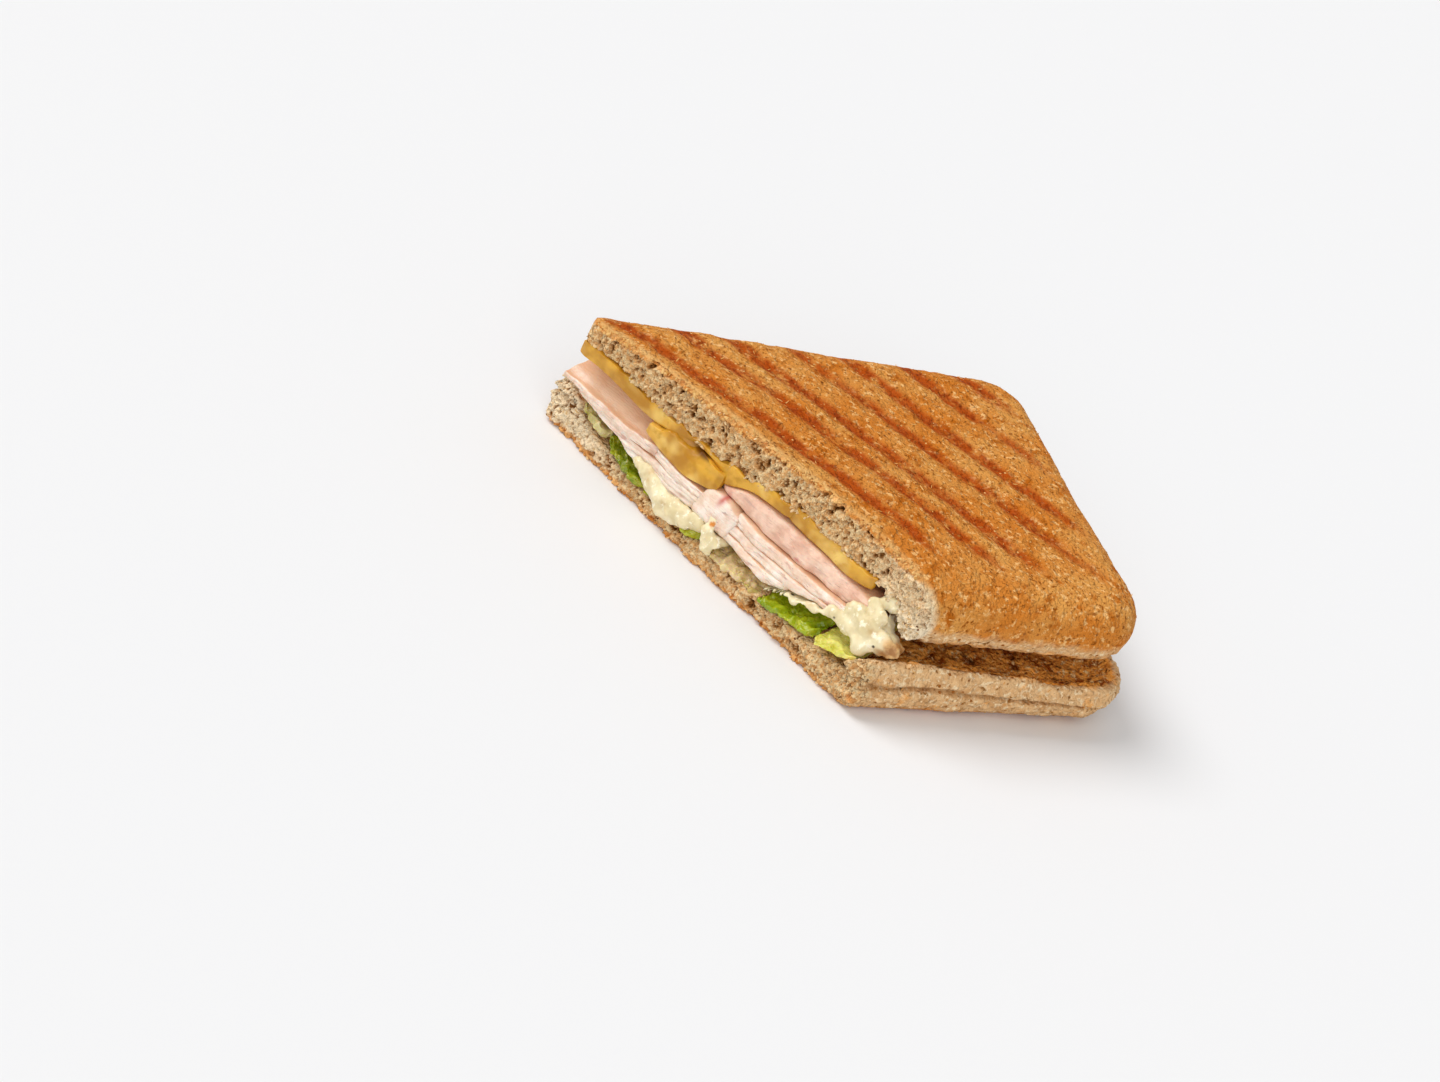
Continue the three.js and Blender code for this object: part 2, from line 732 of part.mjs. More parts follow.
const LETTUCE = [
  {
    name: 'lettuce_rib',
    from: 8,
    to: 17,
    under: [[8, 9.9], [12, 7.9], [17, 6.2]],
    over: [[8, 10.8], [12, 10.6], [17, 8.9]],
    share: [0.03, 0.16],
    push: 0.8,
    reach: 8,
    seed: 41,
  },
  {
    name: 'lettuce_left',
    from: 17.8,
    to: 35.4,
    under: [[18, 6.6], [22, 5.6], [28, 4.7], [35, 4.2]],
    over: [[18, 9], [24, 8.6], [30, 6.9], [35, 5]],
    share: [0.04, 0.1],
    leaf: 1,
    curl: 5,
    push: 1.2,
    seed: 42,
  },
  {
    name: 'lettuce_middle',
    from: 43.2,
    to: 50.6,
    under: [[43, 4.3], [50, 4.6]],
    over: [[43, 5.2], [46, 8.4], [50.6, 7.9]],
    share: [0.04, 0.1],
    leaf: 1,
    curl: 5,
    push: 1.6,
    seed: 43,
  },
  {
    name: 'lettuce_olive',
    from: 51.4,
    to: 70.4,
    under: [[51, 5], [60, 4.9], [70, 5.4]],
    over: [[51, 5.9], [56, 6.1], [58, 8.7], [65, 8], [70, 7]],
    share: [0.04, 0.1],
    leaf: 1,
    curl: 5,
    push: 0.6,
    seed: 44,
  },
  {
    name: 'lettuce_right',
    from: 71.2,
    to: 86.4,
    under: [[71, 5.8], [78, 7.4], [86, 7.8]],
    over: [[71, 7.3], [74, 9.2], [80, 10.2], [86, 12.2]],
    share: [0.04, 0.1],
    leaf: 1,
    curl: 5,
    push: 1.8,
    seed: 45,
  },
  {
    name: 'lettuce_tip',
    from: 87.2,
    to: 97,
    under: [[87, 8.8], [92, 9.8], [97, 11]],
    over: [[87, 12.2], [93, 12.4], [97, 12.1]],
    share: [0.08, 0.16],
    leaf: 1.1,
    curl: 5,
    push: 3,
    seed: 46,
  },
];

// ---- the half sandwich ----------------------------------------------------------------------

const crust = { color: 0xc4803c, roughness: 0.8, metalness: 0 };
const crumb = { color: 0xcaa67c, roughness: 0.9, metalness: 0 };
const cheese = { color: 0xd9a93c, roughness: 0.4, metalness: 0 };
const turkey = { color: 0xe6c8b8, roughness: 0.45, metalness: 0 };
const dressing = { color: 0xeee6ce, roughness: 0.3, metalness: 0 };
const lettuce = { color: 0x93ab2c, roughness: 0.5, metalness: 0 };

const halfSandwich = new THREE.Group();

function add(name, geometry, finish) {
  geometry.computeVertexNormals();
  const mesh = new THREE.Mesh(geometry, new THREE.MeshStandardMaterial(finish));
  mesh.name = name;
  halfSandwich.add(mesh);
}

const bottomSlab = cutBread(bottomBread(), bottomLine, KNIFE_HEIGHTS.bottom, BOTTOM_TIP_ROUND, 41);
const topSlab = cutBread(topBread(), topLine, KNIFE_HEIGHTS.top, TOP_TIP_ROUND, 21);
add('bread_bottom', bottomSlab, crumb);
add('bread_top', topSlab, crust);
for (const piece of CHEESE) add(piece.name, layer(piece), cheese);
for (const piece of TURKEY) add(piece.name, layer(piece), turkey);
for (const piece of DRESSING) add(piece.name, layer(piece), dressing);
for (const piece of LETTUCE) add(piece.name, layer(piece), lettuce);

// The origin is under the middle of the whole, on the ground.
const extent = new THREE.Box3().setFromObject(halfSandwich);
const middle = extent.getCenter(new THREE.Vector3());
halfSandwich.position.set(-middle.x, -middle.y, -extent.min.z);

export default halfSandwich;
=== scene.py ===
import bmesh
import bpy
import numpy as np
from mathutils import Matrix, Vector, noise


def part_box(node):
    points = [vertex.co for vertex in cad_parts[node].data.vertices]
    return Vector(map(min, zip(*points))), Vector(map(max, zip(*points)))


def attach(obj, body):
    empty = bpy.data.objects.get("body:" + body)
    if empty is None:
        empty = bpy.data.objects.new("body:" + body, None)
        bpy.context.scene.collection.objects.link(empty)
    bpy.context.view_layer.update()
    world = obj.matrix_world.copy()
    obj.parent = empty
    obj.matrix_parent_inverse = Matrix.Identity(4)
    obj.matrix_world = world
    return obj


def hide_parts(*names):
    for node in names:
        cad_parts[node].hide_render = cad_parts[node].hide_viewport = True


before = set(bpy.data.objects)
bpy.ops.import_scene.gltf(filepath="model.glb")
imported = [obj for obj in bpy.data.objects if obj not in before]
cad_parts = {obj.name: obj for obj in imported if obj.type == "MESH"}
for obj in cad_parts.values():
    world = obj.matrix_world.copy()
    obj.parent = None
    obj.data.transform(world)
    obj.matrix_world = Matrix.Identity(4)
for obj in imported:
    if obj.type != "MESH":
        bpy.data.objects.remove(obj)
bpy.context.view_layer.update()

# ---- The slabs of bread ---------------------------------------------------------------------
# Two slabs of one flat wholemeal roll. A ridged grill pressed and toasted the outside, and one
# slanting stroke of a knife tore the crumb open. The upper slab slid a little on the filling.

# Lengths are in millimetres and angles in radians, unless a comment says otherwise.
MM = 0.001
MERGE_DISTANCE = 0.002
JOIN_ANGLE = 0.6
FIRM_ANGLE = 0.8
BREAD_VOXEL = 0.7
BREAD_SMOOTHING = 7
CRUMB_REACH = 1.5
CRUMB_ROUNDS = 2

# Each slab's outline seen from above: its three straight sides and the radius of its corners.
UPPER_PLAN = {"right": 55.5, "front": -43.8, "back": 46.4, "corner": 13}
LOWER_PLAN = {"right": 58.2, "front": -48, "back": 48, "corner": 13}

# The outlines and the cut are given about the roll's middle, and this shift finds it.
upper_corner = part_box("bread_top")[1] / MM
middle_shift = np.array((upper_corner.x - UPPER_PLAN["right"], upper_corner.y - UPPER_PLAN["back"]))

# Where the cut starts and ends, at its lower and at its upper height. It slants between them.
CUT_LOW, CUT_HIGH = 6, 23
CUT_STARTS = np.array([(-57, 45.5), (-57.7, 41.1)]) + middle_shift
CUT_ENDS = np.array([(-11.9, -46.1), (-1.9, -44.2)]) + middle_shift

# The pores of the crumb: their size, how deep they sink and how much painted shade darkens them.
# The painted shade in them is fainter towards the cut's end, between two distances along it.
PORES = ((3.8, 1.3, 0.46), (2, 1.2, 0.46), (1.05, 0.8, 0.36))
STRAND_SIZE = 1.1
FAINT_PORES, FAINTNESS = (82, 96), 0.4

# The crumb is painted lighter towards one end of each slab's cut, between two distances along it.
# On the lower slab this is painted light; on the upper slab the crumb is paler there and also
# carries painted light, most along its lower border.
UPPER_PALE_LIT_END, LOWER_LIT_START = (80, 94), (12, 30)

# The height of the upper crust's edge at some distances along the cut.
CRUST_ALONG = (0, 14, 50, 66, 80, 92, 104)
CRUST_TOP = (30.2, 31.7, 33.1, 33.9, 33.2, 32, 31)

# Below its rim the side of the upper slab stayed pale. The rim climbs towards the front.
UPPER_RIM, RIM_BLEND = 16.9, 2.6
RIM_CLIMB, CLIMB_FRONT = 3, (34, 42)

# How far behind the cut each ridge of the grill pressed a line, on the top and underneath.
# The lines fan out a little and fade towards the edges of the slab.
GRILL_MARKS = (8.8, 21, 30.6, 43.8, 54.8, 67.8, 80)
UNDERSIDE_MARKS = (6, 18, 29, 41, 52, 64, 75)
MARK_HALF_WIDTH, MARK_WANDER = 2.4, 0.5
MARK_FAN, FAN_MIDDLE = 0.05, 55
FADE_BACK, FADE_FRONT, FADE_RIGHT = (40, 47), (-38, -22), (40, 53)
UNDERSIDE_FADE = (6, 14)

# A crease runs round the side of the lower slab, sunk in and painted with shade along its
# groove, and a small toasted nub sits at the end of its cut. The nub has its distance along the
# cut, its height and its reach in both.
CREASE_HEIGHT, CREASE_HALF_WIDTH = 7.6, 0.65
NUB, NUB_REACH = (102.6, 3.6), (1.5, 1.1)

# Each finish: its main colour, and then the patches over it, of which each has its scale per
# metre, the two limits between which it fades in, and its colour.
CRUST = (
    "#d27e2c",
    (75, 0.35, 0.68, "#dc9a4c"),
    (260, 0.5, 0.72, "#b8620e"),
    (700, 0.54, 0.68, "#f2bc78"),
    (950, 0.56, 0.7, "#965008"),
)
SIDE_WALL = (
    "#e9bd88",
    (300, 0.4, 0.66, "#d6a46e"),
    (900, 0.5, 0.66, "#f8dcb0"),
    (640, 0.58, 0.7, "#a06c34"),
)
BURNT = (
    "#fcaa4a",
    (270, 0.46, 0.66, "#984806"),
    (800, 0.54, 0.68, "#ffd898"),
    (210, 0.56, 0.7, "#5c2a06"),
)
STRANDS = ("#ecd0a0", (900, 0.4, 0.62, "#dca86c"))

# The share of a speck's radius that has its full colour.
SPECK_CORE = 0.55

# Without a seed of its own, the noise would start from the clock. Each pattern then has its
# own number, which is multiplied by a step to find its place in the noise.
NOISE_SEED = 7
BUMPS_STEP, PITS_STEP = np.array((17.3, -9.1, 5.7)), np.array((7.3, 3.1, -5.7))
PIT_WARP, WARP_SCALE = 0.45, 1.9
PIT_STEEPNESS = 2.6
noise.seed_set(NOISE_SEED)


def paint(code):
    """A colour as it looks on a screen, turned into the shader's own scale."""
    channels = [int(code[n:n + 2], 16) / 255 for n in (1, 3, 5)]
    linear = [c / 12.92 if c <= 0.04045 else ((c + 0.055) / 1.055) ** 2.4 for c in channels]
    return (*linear, 1)


def smooth(values, low, high):
    """0 below low, 1 above high, and soft between them."""
    share = np.clip((values - low) / (high - low), 0, 1)
    return share * share * (3 - 2 * share)


def cut_line(rise):
    """Where the cut starts and ends, at a share of the way from its lower to its upper height."""
    start = CUT_STARTS[0] * (1 - rise) + CUT_STARTS[1] * rise
    end = CUT_ENDS[0] * (1 - rise) + CUT_ENDS[1] * rise
    return start, end


def from_cut(points, rise=None):
    """Each point's distance along the cut, its depth behind the cut, and the way inward."""
    if rise is None:
        rise = np.clip((points[:, 2] - CUT_LOW) / (CUT_HIGH - CUT_LOW), 0, 1)
    rise = np.broadcast_to(rise, len(points))[:, None]
    start, end = cut_line(rise)
    along = (end - start) / np.linalg.norm(end - start, axis=1)[:, None]
    inward = np.stack((-along[:, 1], along[:, 0], 0 * along[:, 0]), axis=1)
    flat = points[:, :2] - start
    return (flat * along).sum(1), (flat * inward[:, :2]).sum(1), inward


def from_outline(points, plan):
    """How far inside a slab's rounded outline each point lies."""
    middle = (plan["front"] + plan["back"]) / 2
    half = (plan["back"] - plan["front"]) / 2
    flat = points[:, :2] - middle_shift
    past_x = flat[:, 0] - plan["right"] + plan["corner"]
    past_y = np.abs(flat[:, 1] - middle) - half + plan["corner"]
    outside = np.hypot(np.maximum(past_x, 0), np.maximum(past_y, 0))
    return plan["corner"] - outside - np.minimum(np.maximum(past_x, past_y), 0)


def dab(along, height, at, reach):
    """1 at one place on the cut, fading out over its reach along the cut and in height."""
    return np.exp(-(((along - at[0]) / reach[0]) ** 2) - ((height - at[1]) / reach[1]) ** 2)


def read_points(mesh):
    points = np.empty(len(mesh.vertices) * 3)
    mesh.vertices.foreach_get("co", points)
    return points.reshape(-1, 3) / MM


def write_points(mesh, points):
    mesh.vertices.foreach_set("co", (points * MM).ravel())
    mesh.update()


def read_normals(mesh):
    normals = np.empty(len(mesh.vertices) * 3)
    mesh.vertices.foreach_get("normal", normals)
    return normals.reshape(-1, 3)


def store(mesh, name, values):
    """Keeps one value for each point, which a material reads by its name."""
    layer = mesh.attributes.new(name, "FLOAT", "POINT")
    layer.data.foreach_set("value", np.asarray(values, np.float32))


def bumps(points, size, seed, stretch=(1, 1, 1)):
    """Soft random bumps of one size, from -1 to 1."""
    scaled = points / (size * np.array(stretch)) + seed * BUMPS_STEP
    return np.array([noise.noise(Vector(p)) for p in scaled])


def pits(points, size, seed):
    """Ragged pits with thin torn walls between: how deep each point lies, 0 to 1."""
    depth = np.empty(len(points))
    for n, p in enumerate(points / size + seed * PITS_STEP):
        place = Vector(p)
        place += PIT_WARP * noise.noise_vector(place * WARP_SCALE)
        distances, centres = noise.voronoi(place)
        opened = 0.55 + 0.9 * noise.noise(centres[0] * 3.7)
        steep = min(1, (distances[1] - distances[0]) * PIT_STEEPNESS)
        depth[n] = steep * min(1, max(0.05, opened))
    return depth


def finished(piece):
    """Puts the modifiers' result into the piece's own mesh."""
    shown = piece.evaluated_get(bpy.context.evaluated_depsgraph_get())
    mesh = bpy.data.meshes.new_from_object(shown)
    piece.modifiers.clear()
    piece.data = mesh
    return mesh


def linked(name, mesh):
    piece = bpy.data.objects.new(name, mesh)
    bpy.context.scene.collection.objects.link(piece)
    return piece


def copy_of(node, name, firmness=0):
    """A piece of its own from the node's solid, its corners joined and its cut edges firm."""
    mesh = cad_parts[node].data.copy()
    mesh.materials.clear()
    shape = bmesh.new()
    shape.from_mesh(mesh)
    bmesh.ops.remove_doubles(shape, verts=shape.verts, dist=MERGE_DISTANCE * MM)
    bmesh.ops.join_triangles(
        shape, faces=shape.faces, angle_face_threshold=JOIN_ANGLE, angle_shape_threshold=JOIN_ANGLE
    )
    for face in shape.faces:
        face.smooth = True
    firm = shape.edges.layers.float.new("crease_edge")
    for edge in shape.edges:
        edge[firm] = firmness if edge.calc_face_angle(0) > FIRM_ANGLE else 0
    shape.to_mesh(mesh)
    shape.free()
    return linked(name, mesh)


def even_mesh(piece, voxel, smoothing):
    """Small even faces all over, with the solid's flat facets smoothed away."""
    remesh = piece.modifiers.new("even", "REMESH")
    remesh.mode = "VOXEL"
    remesh.voxel_size = voxel * MM
    remesh.use_smooth_shade = True
    relax = piece.modifiers.new("relax", "SMOOTH")
    relax.factor = 0.5
    relax.iterations = smoothing
    return finished(piece)


def finer_near_cut(mesh, rise):
    """Splits the faces of the cut side, where the crumb needs them small."""
    shape = bmesh.new()
    shape.from_mesh(mesh)
    for _ in range(CRUMB_ROUNDS):
        shape.verts.ensure_lookup_table()
        points = np.array([v.co for v in shape.verts]) / MM
        _, depth, _ = from_cut(points, rise)
        near = depth < CRUMB_REACH
        edges = [e for e in shape.edges if all(near[v.index] for v in e.verts)]
        bmesh.ops.subdivide_edges(shape, edges=edges, cuts=1, use_grid_fill=True)
        shape.verts.index_update()
    for face in shape.faces:
        face.smooth = True
    shape.to_mesh(mesh)
    shape.free()


def torn_crumb(mesh, rise, seed):
    """Opens the crumb at the cut with pores of three sizes, and says where crumb shows and how much
    painted shade lies in its pores.
    """
    points = read_points(mesh)
    along, depth, inward = from_cut(points, rise)
    facing = -(read_normals(mesh) * inward).sum(1)
    crumb = smooth(facing, 0.2, 0.5) * (1 - smooth(depth, 1.6, 2.6))
    torn = np.flatnonzero(crumb > 0.01)
    there = points[torn]
    # Each pore sinks in, and painted shade darkens it by its depth and lightens the strands.
    sink, dark = 0, 0
    for n, (size, deepest, pit_shade) in enumerate(PORES):
        opened = pits(there, size, seed + n)
        sink = sink + deepest * opened
        dark = dark + pit_shade * opened
    uneven = bumps(there, 4, seed + 3)
    strands = 1 - 2 * np.abs(bumps(there, STRAND_SIZE, seed + 4))
    sink = sink - 0.5 * strands - 0.9 + 0.5 * uneven
    points[torn] += inward[torn] * (sink * crumb[torn])[:, None]
    write_points(mesh, points)
    pore_shade = np.zeros(len(points))
    faint = 1 - FAINTNESS * smooth(along[torn], *FAINT_PORES)
    pore_shade[torn] = np.clip((dark - 0.16 * strands) * faint, 0, 1)
    store(mesh, "crumb", crumb)
    store(mesh, "pore_shade", pore_shade)


def add(tree, kind, sockets=None, **settings):
    """A shader node with its settings, and with its inputs set or linked."""
    made = tree.nodes.new(kind)
    for key, value in settings.items():
        setattr(made, key, value)
    for key, value in (sockets or {}).items():
        if isinstance(value, bpy.types.NodeSocket):
            tree.links.new(value, made.inputs[key])
        else:
            made.inputs[key].default_value = value
    return made


def blend(tree, share, a, b):
    made = add(tree, "ShaderNodeMix", {0: share, 6: a, 7: b}, data_type="RGBA")
    return made.outputs[2]


def between(tree, value, low, high, start=0.0, end=1.0):
    """In a shader: start below low, end above high, and soft between them."""
    sockets = {0: value, 1: low, 2: high, 3: start, 4: end}
    made = add(tree, "ShaderNodeMapRange", sockets, interpolation_type="SMOOTHSTEP")
    return made.outputs[0]


def times(tree, a, b):
    return add(tree, "ShaderNodeMath", {0: a, 1: b}, operation="MULTIPLY").outputs[0]


def plus(tree, a, b):
    return add(tree, "ShaderNodeMath", {0: a, 1: b}, operation="ADD").outputs[0]


def mark(tree, name):
    """The values that were stored on the piece's points under this name."""
    return add(tree, "ShaderNodeAttribute", attribute_name=name).outputs["Fac"]


def effect(name, sockets):
    """An empty shader group that turns a place into one mask, with named inputs."""
    group = bpy.data.node_groups.new(name, "ShaderNodeTree")
    group.interface.new_socket("Place", in_out="INPUT", socket_type="NodeSocketVector")
    for socket in sockets:
        group.interface.new_socket(socket, in_out="INPUT", socket_type="NodeSocketFloat")
    group.interface.new_socket("Mask", in_out="OUTPUT", socket_type="NodeSocketFloat")
    return group, add(group, "NodeGroupInput").outputs, add(group, "NodeGroupOutput").inputs[0]


def mottling_effect():
    """Cloudy patches: Low and High say how sharp they are and how much they cover."""
    group, given, mask = effect("mottling", ("Scale", "Detail", "Low", "High"))
    sockets = {"Vector": given["Place"], "Scale": given["Scale"], "Detail": given["Detail"]}
    clouds = add(group, "ShaderNodeTexNoise", {**sockets, "Roughness": 0.6}).outputs["Fac"]
    group.links.new(between(group, clouds, given["Low"], given["High"]), mask)
    return group


def specks_effect():
    """Small round spots of one size in a share of the cells of a given scale."""
    group, given, mask = effect("specks", ("Scale", "Size", "Share"))
    cells = add(group, "ShaderNodeTexVoronoi", {"Vector": given["Place"], "Scale": given["Scale"]})
    chosen = add(group, "ShaderNodeSeparateColor", {0: cells.outputs["Color"]}).outputs[0]
    core = times(group, given["Size"], SPECK_CORE)
    spot = between(group, cells.outputs["Distance"], core, given["Size"], 1.0, 0.0)
    few = add(group, "ShaderNodeMath", {0: chosen, 1: given["Share"]}, operation="LESS_THAN")
    group.links.new(times(group, spot, few.outputs[0]), mask)
    return group


mottling_group = mottling_effect()
specks_group = specks_effect()


def mottling(tree, place, scale, low, high, detail=3.0):
    sockets = {"Place": place, "Scale": scale, "Detail": detail, "Low": low, "High": high}
    return add(tree, "ShaderNodeGroup", sockets, node_tree=mottling_group).outputs[0]


def specks(tree, place, scale, size, share):
    sockets = {"Place": place, "Scale": scale, "Size": size, "Share": share}
    return add(tree, "ShaderNodeGroup", sockets, node_tree=specks_group).outputs[0]


def patchy(tree, place, colour, *patches):
    """Lays cloudy patches over a colour: each has its scale, its two limits and its colour."""
    if isinstance(colour, str):
        colour = paint(colour)
    for scale, low, high, code in patches:
        colour = blend(tree, mottling(tree, place, scale, low, high), colour, paint(code))
    return colour


def new_material(name):
    material = bpy.data.materials.new(name)
    material.use_nodes = True
    tree = material.node_tree
    place = add(tree, "ShaderNodeTexCoord").outputs["Object"]
    return material, tree, place, tree.nodes["Principled BSDF"]


def roughen(tree, shader, height, strength, depth):
    """Gives the shader its finest relief, whose depth is in metres."""
    bump = add(tree, "ShaderNodeBump", {"Height": height, "Strength": strength, "Distance": depth})
    tree.links.new(bump.outputs[0], shader.inputs["Normal"])


def bread_material():
    """Crust outside and crumb inside, each by the values that are stored on the slab."""
    material, tree, place, shader = new_material("wholemeal bread")
    crust = patchy(tree, place, *CRUST)
    pressed = between(tree, mark(tree, "grill"), 0.05, 0.8)
    toasted = times(tree, pressed, mottling(tree, place, 230, 0.25, 0.55))
    crust = blend(tree, times(tree, toasted, 0.92), crust, paint("#b04602"))
    scorched = times(tree, times(tree, pressed, pressed), mottling(tree, place, 520, 0.48, 0.66))
    crust = blend(tree, times(tree, scorched, 0.75), crust, paint("#8a3000"))
    edge = times(tree, mark(tree, "edge"), mottling(tree, place, 520, 0.24, 0.54))
    crust = blend(tree, edge, crust, paint("#e6b26e"))
    wall = patchy(tree, place, *SIDE_WALL)
    # Painted shade darkens the crease along the side wall.
    wall = blend(tree, times(tree, mark(tree, "fold"), 0.6), wall, paint("#946028"))
    crust = blend(tree, mark(tree, "pale"), crust, wall)
    crust = blend(tree, mark(tree, "toast"), crust, patchy(tree, place, *BURNT))
    bran_specks = specks(tree, place, 620, size=0.3, share=0.22)
    crust = blend(tree, bran_specks, crust, paint("#a8662a"))
    pale_specks = specks(tree, place, 900, size=0.3, share=0.08)
    crust = blend(tree, pale_specks, crust, paint("#e8b470"))

    # Painted shade: the crumb is darker where its pores sink deepest, in three steps of colour.
    pore_shade = mark(tree, "pore_shade")
    strand = patchy(tree, place, *STRANDS)
    # Painted light makes the strands lighter towards one end of each cut.
    strand = blend(tree, mark(tree, "end"), strand, paint("#fdeac8"))
    inside = blend(tree, between(tree, pore_shade, 0.26, 0.58), strand, paint("#a87036"))
    inside = blend(tree, between(tree, pore_shade, 0.46, 0.76), inside, paint("#5a320c"))
    deep_shade = times(tree, mottling(tree, place, 1500, 0.56, 0.7), between(tree, pore_shade, 0.14, 0.5))
    inside = blend(tree, deep_shade, inside, paint("#7a4c20"))
    seeds = specks(tree, place, 700, size=0.25, share=0.12)
    inside = blend(tree, seeds, inside, paint("#7d4a24"))
    middling = mottling(tree, place, 420, 0.28, 0.72, detail=2)
    golden = blend(tree, middling, paint("#d2863a"), paint("#f4be7a"))
    inside = blend(tree, mark(tree, "skin"), inside, golden)

    tree.links.new(blend(tree, mark(tree, "crumb"), crust, inside), shader.inputs["Base Color"])
    tree.links.new(between(tree, middling, 0, 1, 0.68, 0.86), shader.inputs["Roughness"])
    fine = mottling(tree, place, 1200, 0.25, 0.75, detail=1)
    grainy = plus(tree, middling, times(tree, fine, 0.5))
    roughen(tree, shader, grainy, strength=0.8, depth=0.0008)
    shader.inputs["Specular IOR Level"].default_value = 0.08
    return material


bread = bread_material()


def pressed_lines(points, rise, marks):
    """1 along the middle of each line that a ridge of the grill pressed, wavering a little."""
    along, depth, _ = from_cut(points, rise)
    wander = MARK_WANDER * bumps(points, 9, seed=61)
    lines = np.zeros(len(points))
    for at in marks:
        aside = depth + wander - at - MARK_FAN * (along - FAN_MIDDLE)
        lines += np.exp(-((aside / MARK_HALF_WIDTH) ** 2))
    return np.clip(lines, 0, 1)


def upper_looks(points, normals):
    """The upper slab: where each of its colours shows, and how far its skin is raised."""
    along, depth, _ = from_cut(points, 1)
    height = points[:, 2]
    uneven = bumps(points, 2.4, seed=62)
    grill = pressed_lines(points, 1, GRILL_MARKS)
    grill *= (1 - smooth(points[:, 1], *FADE_BACK)) * smooth(points[:, 1], *FADE_FRONT)
    grill *= (1 - smooth(points[:, 0], *FADE_RIGHT)) * smooth(normals[:, 2], 0.5, 0.9)
    grill *= np.clip(0.9 + 0.5 * bumps(points, 12, seed=64), 0.35, 1)
    rim = UPPER_RIM + RIM_CLIMB * smooth(-points[:, 1], *CLIMB_FRONT)
    pale = 1 - smooth(height + 1.1 * uneven, rim, rim + RIM_BLEND)
    crust_top = np.interp(along, CRUST_ALONG, CRUST_TOP)
    masks = {
        "grill": grill,
        "pale": pale,
        "toast": (1 - smooth(normals[:, 2], -0.6, -0.3)) * smooth(depth, 3, 6) * 0.5,
        "skin": smooth(height - crust_top + 0.5 * uneven, -1.5, -0.8),
        "edge": 1 - smooth(depth + 0.8 * uneven, 0.8, 3),
        # The end is paler crumb with painted light, most along its lower border.
        "end": smooth(along, *UPPER_PALE_LIT_END) * (1 - 0.6 * smooth(height + uneven, 20, 27)),
    }
    raised = 0.16 * bumps(points, 5.5, seed=65) + 0.14 * uneven + 0.1 * bumps(points, 1.2, seed=66)
    raised += 0.6 * pale * bumps(points, 1.8, seed=67) - 0.25 * grill
    return masks, raised * smooth(from_outline(points, UPPER_PLAN), -1, 1.5)


def lower_looks(points, normals):
    """The lower slab: where each of its colours shows, and how far its skin is raised."""
    along, depth, _ = from_cut(points, 0)
    height = points[:, 2]
    inset = from_outline(points, LOWER_PLAN)
    uneven = bumps(points, 2.2, seed=72, stretch=(1.6, 1.6, 0.7))
    underside = 1 - smooth(height + 0.5 * uneven, 0.9, 2)
    grill = pressed_lines(points, 0, UNDERSIDE_MARKS) * underside
    grill *= smooth(inset, *UNDERSIDE_FADE)
    over = smooth(normals[:, 2], 0.3, 0.7) * smooth(height, 4, 6)
    over *= smooth(inset + 0.9 * uneven, 2.6, 3.8) * smooth(depth, 3, 8)
    spots = smooth(bumps(points, 3, seed=75), 0.4, 0.55) * 0.5 * (1 - underside)
    wave = 1.2 * bumps(points, 14, seed=76)
    above = height - CREASE_HEIGHT - wave - 0.3 * bumps(points, 3, seed=77)
    lip = 0.7 * smooth(above, 0, 0.7) * (1 - smooth(above, 1.2, 2.4))
    # Along the crease the groove sinks in, and the same mask paints shade into it.
    fold = np.exp(-((above / CREASE_HALF_WIDTH) ** 2)) * (1 - over)
    nub = dab(along, height, NUB, NUB_REACH) * (1 - smooth(depth, 0, 3))
    masks = {
        "grill": grill,
        "pale": 1 - underside,
        "toast": np.maximum(over * (1 - 0.7 * smooth(inset, 16, 22)), spots),
        "fold": fold,
        "skin": np.maximum(1 - smooth(height + 0.7 * uneven, 0.7, 1.7), nub),
        "edge": (1 - smooth(depth, 0.5, 2.2)) * underside,
        # The end is painted light.
        "end": 0.8 * (1 - smooth(along, *LOWER_LIT_START)),
    }
    crease = 0.7 * bumps(points, 3.2, seed=73, stretch=(2.2, 2.2, 0.55))
    crease = crease + 0.4 * uneven + lip - 1.1 * fold
    crumbly = pits(points, 1.9, seed=74) * (0.6 + 1.1 * over) + 0.4 * pits(points, 1, seed=78)
    raised = (crease - 0.7 * crumbly) * smooth(height, 0.6, 1.6) * (1 - smooth(inset, 14, 20))
    return masks, raised


def dress_slab(node, name, rise, seed, looks):
    """The node's slab with torn crumb, relief on its crust, and the masks of its colours."""
    piece = copy_of(node, name)
    mesh = even_mesh(piece, BREAD_VOXEL, BREAD_SMOOTHING)
    finer_near_cut(mesh, rise)
    points = read_points(mesh)
    normals = read_normals(mesh)
    masks, raised = looks(points, normals)
    for key, values in masks.items():
        store(mesh, key, values)
    write_points(mesh, points + normals * raised[:, None])
    torn_crumb(mesh, rise, seed)
    mesh.materials.append(bread)
    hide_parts(node)
    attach(piece, "root")
    return piece


upper = dress_slab("bread_top", "upper_slab", rise=1, seed=3, looks=upper_looks)
lower = dress_slab("bread_bottom", "lower_slab", rise=0, seed=23, looks=lower_looks)

# ---- Bran, flakes and crumbs ----------------------------------------------------------------
# Dark flecks of bran and pale curled flakes are baked onto the crust, and loose crumbs cling to
# the torn edges. Each kind is one small grain, copied at random sizes.

GRAIN_TILT = 0.35
GRAIN_LIFT = 0.2


